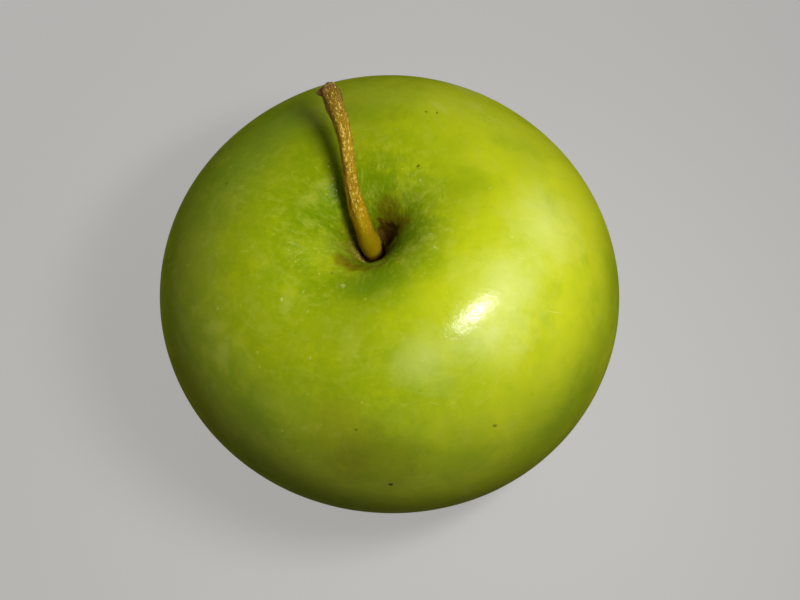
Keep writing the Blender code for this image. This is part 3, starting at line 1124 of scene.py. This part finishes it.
@dataclass
class Stalk:
    """The long bent stalk: a smooth flared foot, a ridged rod and a knob with a broken end."""

    stand: Stand
    finish: StalkWood = field(default_factory=StalkWood)
    turn_steps: int = 84
    steps: int = 20
    knots: tuple[Knot, ...] = (
        Knot((0.00032, 0.00005, -0.00220), 0.00146),
        Knot((-0.00002, 0.00005, 0.00060), 0.00154),
        Knot((-0.00072, 0.00045, 0.00340), 0.00156),
        Knot((-0.00126, 0.00125, 0.00630), 0.00144),
        Knot((-0.00206, 0.00275, 0.00900), 0.00136),
        Knot((-0.00285, 0.00500, 0.01230), 0.00110),
        Knot((-0.00325, 0.00770, 0.01490), 0.00103),
        Knot((-0.00372, 0.01060, 0.01670), 0.00110),
        Knot((-0.00460, 0.01360, 0.01780), 0.00124),
        Knot((-0.00545, 0.01560, 0.01858), 0.00137),
        Knot((-0.00592, 0.01730, 0.01915), 0.00132),
        Knot((-0.00595, 0.01824, 0.01952), 0.00072),
    )
    ridges: int = 5
    ridge_share: float = 0.045    # height of the ridges as a share of the half thickness
    ridge_turn: float = 0.6       # turns of the ridges along the stalk
    rough_part: tuple[float, float] = (0.18, 0.42)  # shares of the length where it sets in
    bump_share: float = 0.12
    broad_bump: Crumple = Crumple(2.4, 900, 0.6)
    small_bump: Crumple = Crumple(5.0, 2200, 0.4)
    knob_part: tuple[float, float] = (0.78, 0.92)
    knob_lump: Crumple = Crumple(1.6, 520)
    lump_share: float = 0.18      # of the knob's half thickness
    nub_height: float = 0.00038   # scar of a side shoot near the foot
    nub_level: float = 0.0053
    nub_direction: float = 25.0   # degrees from +X
    nub_width: float = 36.0
    nub_length: float = 0.0015
    burr_height: float = 0.0009   # torn lip at one side of the broken end
    burr_direction: float = 175.0
    burr_width: float = 18.0
    burr_level: float = 0.0010    # its middle, from the end
    burr_length: float = 0.0004
    hollow: float = 0.0005        # of the broken end

    def build(self) -> bpy.types.Object:
        """Make the piece."""
        growth = self.stand.growth
        mouth = self.stand.place(Vector((0.0, 0.0, growth.mouth)))
        route = Route(mouth, self.knots, self.steps)
        last = len(route.points) - 1
        bm = turned(self.rod(last), self.turn_steps)
        grains = bm.verts.layers.float_vector.new("grain")
        alongs = bm.verts.layers.float.new("along")
        ridge_layer = bm.verts.layers.float.new("ridge")
        whole = route.lengths[-1]
        for vert in bm.verts:
            share = math.hypot(vert.co.x, vert.co.y)
            angle = math.atan2(vert.co.y, vert.co.x)
            place, axes, half, length = route.at(vert.co.z)
            around = toward(angle)
            ridge = self.ridge(angle, length / whole)
            bump = self.broad_bump.at(angle, length)
            rough = ease(length / whole, *self.rough_part)
            knob = ease(length / whole, *self.knob_part)
            thick = 1.0 + rough * self.ridge_share * ridge
            thick += rough * self.bump_share * (bump + self.small_bump.at(angle, length))
            thick += knob * self.lump_share * self.knob_lump.at(angle, length)
            across = around * half * share * thick
            across += around * share * self.nub(angle, length)
            across += around * share * self.burr(angle, whole - length)
            vert[grains] = (around.x * half, around.y * half, length)
            vert[alongs] = length / whole
            vert[ridge_layer] = 0.5 + 0.5 * rough * (0.6 * ridge + bump)
            end = self.hollow * ease(share, 1.0, 0.3) * ease(vert.co.z, last - 3, last)
            vert.co = place + axes @ across - axes.col[2] * end
        bmesh.ops.recalc_face_normals(bm, faces=bm.faces)
        return finish_piece(Part.STALK, bm, self.finish.make(), "stalk")

    def rod(self, last: int) -> list[Vector]:
        """Half section of a straight rod of half thickness 1, a step high for each sample.

        Args:
            last: height of its top.

        Returns:
            Points in the XZ plane, from the foot's middle to the top's.
        """
        ends = (0.0, 0.35, 0.7, 0.92)
        points = [Vector((share, 0.0, 0.0)) for share in ends]
        points += [Vector((1.0, 0.0, step)) for step in range(1, last)]
        points += [Vector((share, 0.0, last)) for share in reversed(ends)]
        return points

    def ridge(self, angle: float, share: float) -> float:
        """Height of the twisting ridges, from -1 to 1."""
        turn = 2 * math.pi * self.ridge_turn * share
        wander = 0.8 * noise.noise(Vector((math.cos(angle), math.sin(angle), share * 9)))
        return math.cos(self.ridges * angle + turn + wander)

    def nub(self, angle: float, length: float) -> float:
        """Height of the scar over the stalk's side."""
        turn = turn_from(self.nub_direction, angle)
        rough = 1.0 + 0.5 * noise.noise(Vector((turn / 12, length * 1800, 0.0)))
        return self.nub_height * rough * hill(turn, 0.0, self.nub_width) * hill(
            length, self.nub_level, self.nub_length)

    def burr(self, angle: float, left: float) -> float:
        """Height of the torn lip, by the length that is left to the end."""
        turn = turn_from(self.burr_direction, angle)
        return self.burr_height * hill(turn, 0.0, self.burr_width) * hill(
            left, self.burr_level, self.burr_length)


@dataclass
class Calyx:
    """The dried eye of the fruit: a short cup, five curled sepals and a tuft of stamens."""

    stand: Stand
    finish: DrySepal = field(default_factory=DrySepal)
    cup_radius: float = 0.0020
    cup_height: float = 0.0009
    sepals: int = 5
    sepal_length: float = 0.0036
    sepal_width: float = 0.0019
    sepal_thickness: float = 0.00012
    sepal_curl: float = 115.0      # degrees from root to tip
    sepal_rise: float = 55.0       # degrees from the axis at the root
    stamens: int = 11
    stamen_length: float = 0.0021
    stamen_radius: float = 0.00009
    segments: int = 14
    cup_crumple: float = 0.00008
    cup_grain: float = 900        # lumps in the cup, per metre
    sepal_crumple: float = 0.00010

    def build(self) -> bpy.types.Object:
        """Make the piece, modelled eye up at the origin and then turned into the basin."""
        growth = self.stand.growth
        bm = bmesh.new()
        self.add_cup(bm)
        for index in range(self.sepals):
            self.add_sepal(bm, 360.0 * index / self.sepals, index)
        for index in range(self.stamens):
            self.add_stamen(bm, 360.0 * index / self.stamens, index)
        seat = self.stand.place(Vector((0.0, 0.0, growth.basin_depth)))
        turn = Matrix.Translation(seat) @ Matrix.Rotation(math.pi, 4, "X")
        bmesh.ops.transform(bm, matrix=turn, verts=bm.verts)
        bmesh.ops.recalc_face_normals(bm, faces=bm.faces)
        return finish_piece(Part.CALYX, bm, self.finish.make(), "calyx_sepals")

    def add_cup(self, bm: bmesh.types.BMesh) -> None:
        """A low cup that joins the sepals' roots."""
        made = bmesh.ops.create_cone(
            bm, cap_ends=True, segments=40, radius1=self.cup_radius,
            radius2=self.cup_radius * 0.82, depth=self.cup_height,
            matrix=Matrix.Translation((0.0, 0.0, self.cup_height / 2)))
        tops = [
            face for face in bm.faces
            if face.calc_center_median().z > self.cup_height * 0.9 and len(face.verts) > 4]
        bmesh.ops.inset_region(
            bm, faces=tops, thickness=self.cup_radius * 0.2, depth=-self.cup_height * 0.5)
        for vert in made["verts"]:
            vert.co += noise.noise_vector(vert.co * self.cup_grain) * self.cup_crumple

    def add_sepal(self, bm: bmesh.types.BMesh, direction: float, index: int) -> None:
        """One tapering blade that rises, then curls outwards and down.

        Args:
            bm: the mesh that takes it.
            direction: degrees round the axis.
            index: which one it is, which varies its shape.
        """
        made = bmesh.ops.create_grid(
            bm, x_segments=self.segments // 2, y_segments=self.segments, size=0.5)
        vary = 1.0 + 0.18 * math.sin(2.3 * index + 0.7)
        length = self.sepal_length * vary
        curl = math.radians(self.sepal_curl) * vary
        rise = math.radians(self.sepal_rise)
        spin = Matrix.Rotation(math.radians(direction + 6 * math.sin(4.1 * index)), 3, "Z")
        for vert in made["verts"]:
            across, along = vert.co.x, vert.co.y + 0.5
            width = self.sepal_width * (1 - along ** 1.6) + 0.00012
            lean = rise + curl * along / 2
            chord = length * along
            fold = 0.35 * width * (2 * across) ** 2
            crumple = self.sepal_crumple * noise.noise(Vector((across * 4, along * 5, index * 7.3)))
            out = self.cup_radius * 0.80 + chord * math.sin(lean) * 0.62
            high = self.cup_height * 0.7 + chord * math.cos(lean) + fold * math.sin(lean)
            vert.co = spin @ Vector((out - fold * math.cos(lean), across * width, high + crumple))
        faces = list(dict.fromkeys(face for vert in made["verts"] for face in vert.link_faces))
        bmesh.ops.solidify(bm, geom=faces, thickness=self.sepal_thickness)

    def add_stamen(self, bm: bmesh.types.BMesh, direction: float, index: int) -> None:
        """One dried thread with a swollen tip; see add_sepal."""
        vary = 0.75 + 0.25 * math.sin(5.7 * index + 1.0)
        radius = self.stamen_radius
        length = self.stamen_length * vary
        section = [Vector((0.0, 0.0, 0.0)), Vector((radius, 0.0, 0.0))]
        section += [Vector((radius * 0.8, 0.0, length * step / 6)) for step in range(1, 6)]
        section += [
            Vector((radius * 2.0, 0.0, length)), Vector((radius * 1.6, 0.0, length * 1.08)),
            Vector((0.0, 0.0, length * 1.12))]
        thread = turned(section, 7)
        spin = Matrix.Rotation(math.radians(direction), 3, "Z")
        ring = self.cup_radius * (0.35 if index % 2 else 0.55)
        for vert in thread.verts:
            high = vert.co.z
            bow = 0.00045 * math.sin(high / length * 2.6 + index)
            lean = high * 0.35
            vert.co = spin @ (vert.co + Vector((ring + lean + bow, bow * 0.6, 0.0)))
            vert.co.z += self.cup_height * 0.4
        mesh = mesh_of(thread, "thread")
        bm.from_mesh(mesh)
        bpy.data.meshes.remove(mesh)


# --------------------------------------------------------------------------------------------
# Studio
# --------------------------------------------------------------------------------------------


@dataclass(frozen=True)
class SoftBox:
    """An oval lamp: its place and its length and width in metres, its strength in watts."""

    name: str
    place: tuple[float, float, float]
    size: tuple[float, float]
    power: float
    roll: float = 0.0     # degrees about its own axis
    gleams: bool = True   # whether it shows in the wax


@dataclass(frozen=True)
class Studio:
    """A pale floor, plain soft light and the camera. Places in metres, strengths in watts."""

    floor_size: float = 4.0
    floor_colour: Colour = (0.31, 0.305, 0.295)
    floor_glow: float = 1.15      # of the floor's own colour, for what shows it
    backdrop: Colour = (0.46, 0.46, 0.45)
    backdrop_top: float = 0.12    # how much of it is left overhead
    backdrop_fade: tuple[float, float] = (0.35, 0.75)  # sines of the heights between which it goes
    zenith_strength: float = 0.11
    horizon_strength: float = 0.07
    camera_place: tuple[float, float, float] = (0.0019, -0.0521, 0.1579)
    camera_tilt: float = 23.0     # degrees from straight down
    camera_lens: float = 31.5
    aim: tuple[float, float, float] = (0.004, -0.008, 0.060)
    lamps: tuple[SoftBox, ...] = (
        SoftBox("key", (0.0370, -0.0285, 0.1475), (0.034, 0.012), 0.081, -18.0),
        SoftBox("halo", (0.0370, -0.0285, 0.1475), (0.050, 0.032), 0.029, -18.0),
        SoftBox("back", (0.020, 0.295, 0.056), (0.300, 0.104), 0.165, gleams=False),
        SoftBox("left", (-0.270, 0.120, 0.046), (0.260, 0.086), 0.096, gleams=False),
    )

    def build(self) -> None:
        """Set everything up."""
        self.add_floor()
        self.add_sky()
        for lamp in self.lamps:
            self.add_lamp(lamp)
        self.add_camera()
        bpy.context.scene.view_settings.view_transform = "Standard"

    def add_floor(self) -> None:
        """A wide flat floor, which shows its own pale colour and keeps the shadow."""
        bm = bmesh.new()
        bmesh.ops.create_grid(bm, x_segments=1, y_segments=1, size=self.floor_size / 2)
        floor = show("floor", mesh_of(bm, "floor"))
        graph = Graph(bpy.data.materials.new("pale floor"))
        graph.gloss(
            Base_Color=self.floor_colour, Roughness=0.9, Specular_IOR_Level=0.1,
            Emission_Color=self.floor_colour,
            Emission_Strength=graph.both(graph.shown(), self.floor_glow))
        floor.data.materials.append(graph.owner)

    def add_sky(self) -> None:
        """Soft light, stronger from above, and a pale backdrop for what shows it."""
        world = bpy.data.worlds.new("studio")
        bpy.context.scene.world = world
        graph = Graph(world)
        nodes = graph.tree.nodes
        ways = graph.add("TexCoord").outputs["Generated"]
        height = graph.add("SeparateXYZ", ways).outputs["Z"]
        sky = graph.fill(
            nodes["Background"], Color=(1.0, 1.0, 1.0),
            Strength=graph.scale(height, self.horizon_strength, self.zenith_strength))
        fade = graph.add(
            "MapRange", height, *self.backdrop_fade, 1.0, self.backdrop_top,
            interpolation_type="SMOOTHSTEP")
        backdrop = graph.add("Background", self.backdrop, fade.outputs["Result"])
        mix = graph.add("MixShader", graph.shown(), sky.outputs[0], backdrop.outputs[0])
        graph.feed(nodes["World Output"].inputs["Surface"], mix.outputs[0])

    def add_lamp(self, box: SoftBox) -> None:
        """Hang a soft box, turned to the fruit."""
        data = bpy.data.lights.new(box.name, "AREA")
        data.shape = "ELLIPSE"
        data.size, data.size_y = box.size
        data.energy = box.power
        lamp = show(box.name, data)
        lamp.location = box.place
        aim = Vector(self.aim) - lamp.location
        turn = aim.to_track_quat("-Z", "Y").to_matrix()
        turn = turn @ Matrix.Rotation(math.radians(box.roll), 3, "Z")
        lamp.rotation_euler = turn.to_euler()
        lamp.visible_camera = False
        lamp.visible_glossy = box.gleams

    def add_camera(self) -> None:
        """The camera looks down from the front."""
        data = bpy.data.cameras.new("camera")
        data.sensor_width = 36.0
        data.lens = self.camera_lens
        data.clip_start = 0.001
        camera = show("camera", data)
        camera.location = self.camera_place
        camera.rotation_euler = (math.radians(self.camera_tilt), 0.0, 0.0)
        bpy.context.scene.camera = camera


def main() -> None:
    """Build the pieces, then the studio, and note the sizes."""
    logging.basicConfig(level=logging.INFO)
    noise.seed_set(SEED)
    stand = Stand.under(Growth(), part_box(Part.FRUIT.value))
    LOG.info("stand: %s", [round(value, 5) for value in stand.shift])
    Fruit(stand).build()
    Stalk(stand).build()
    Calyx(stand).build()
    Studio().build()


if __name__ == "__main__":
    main()
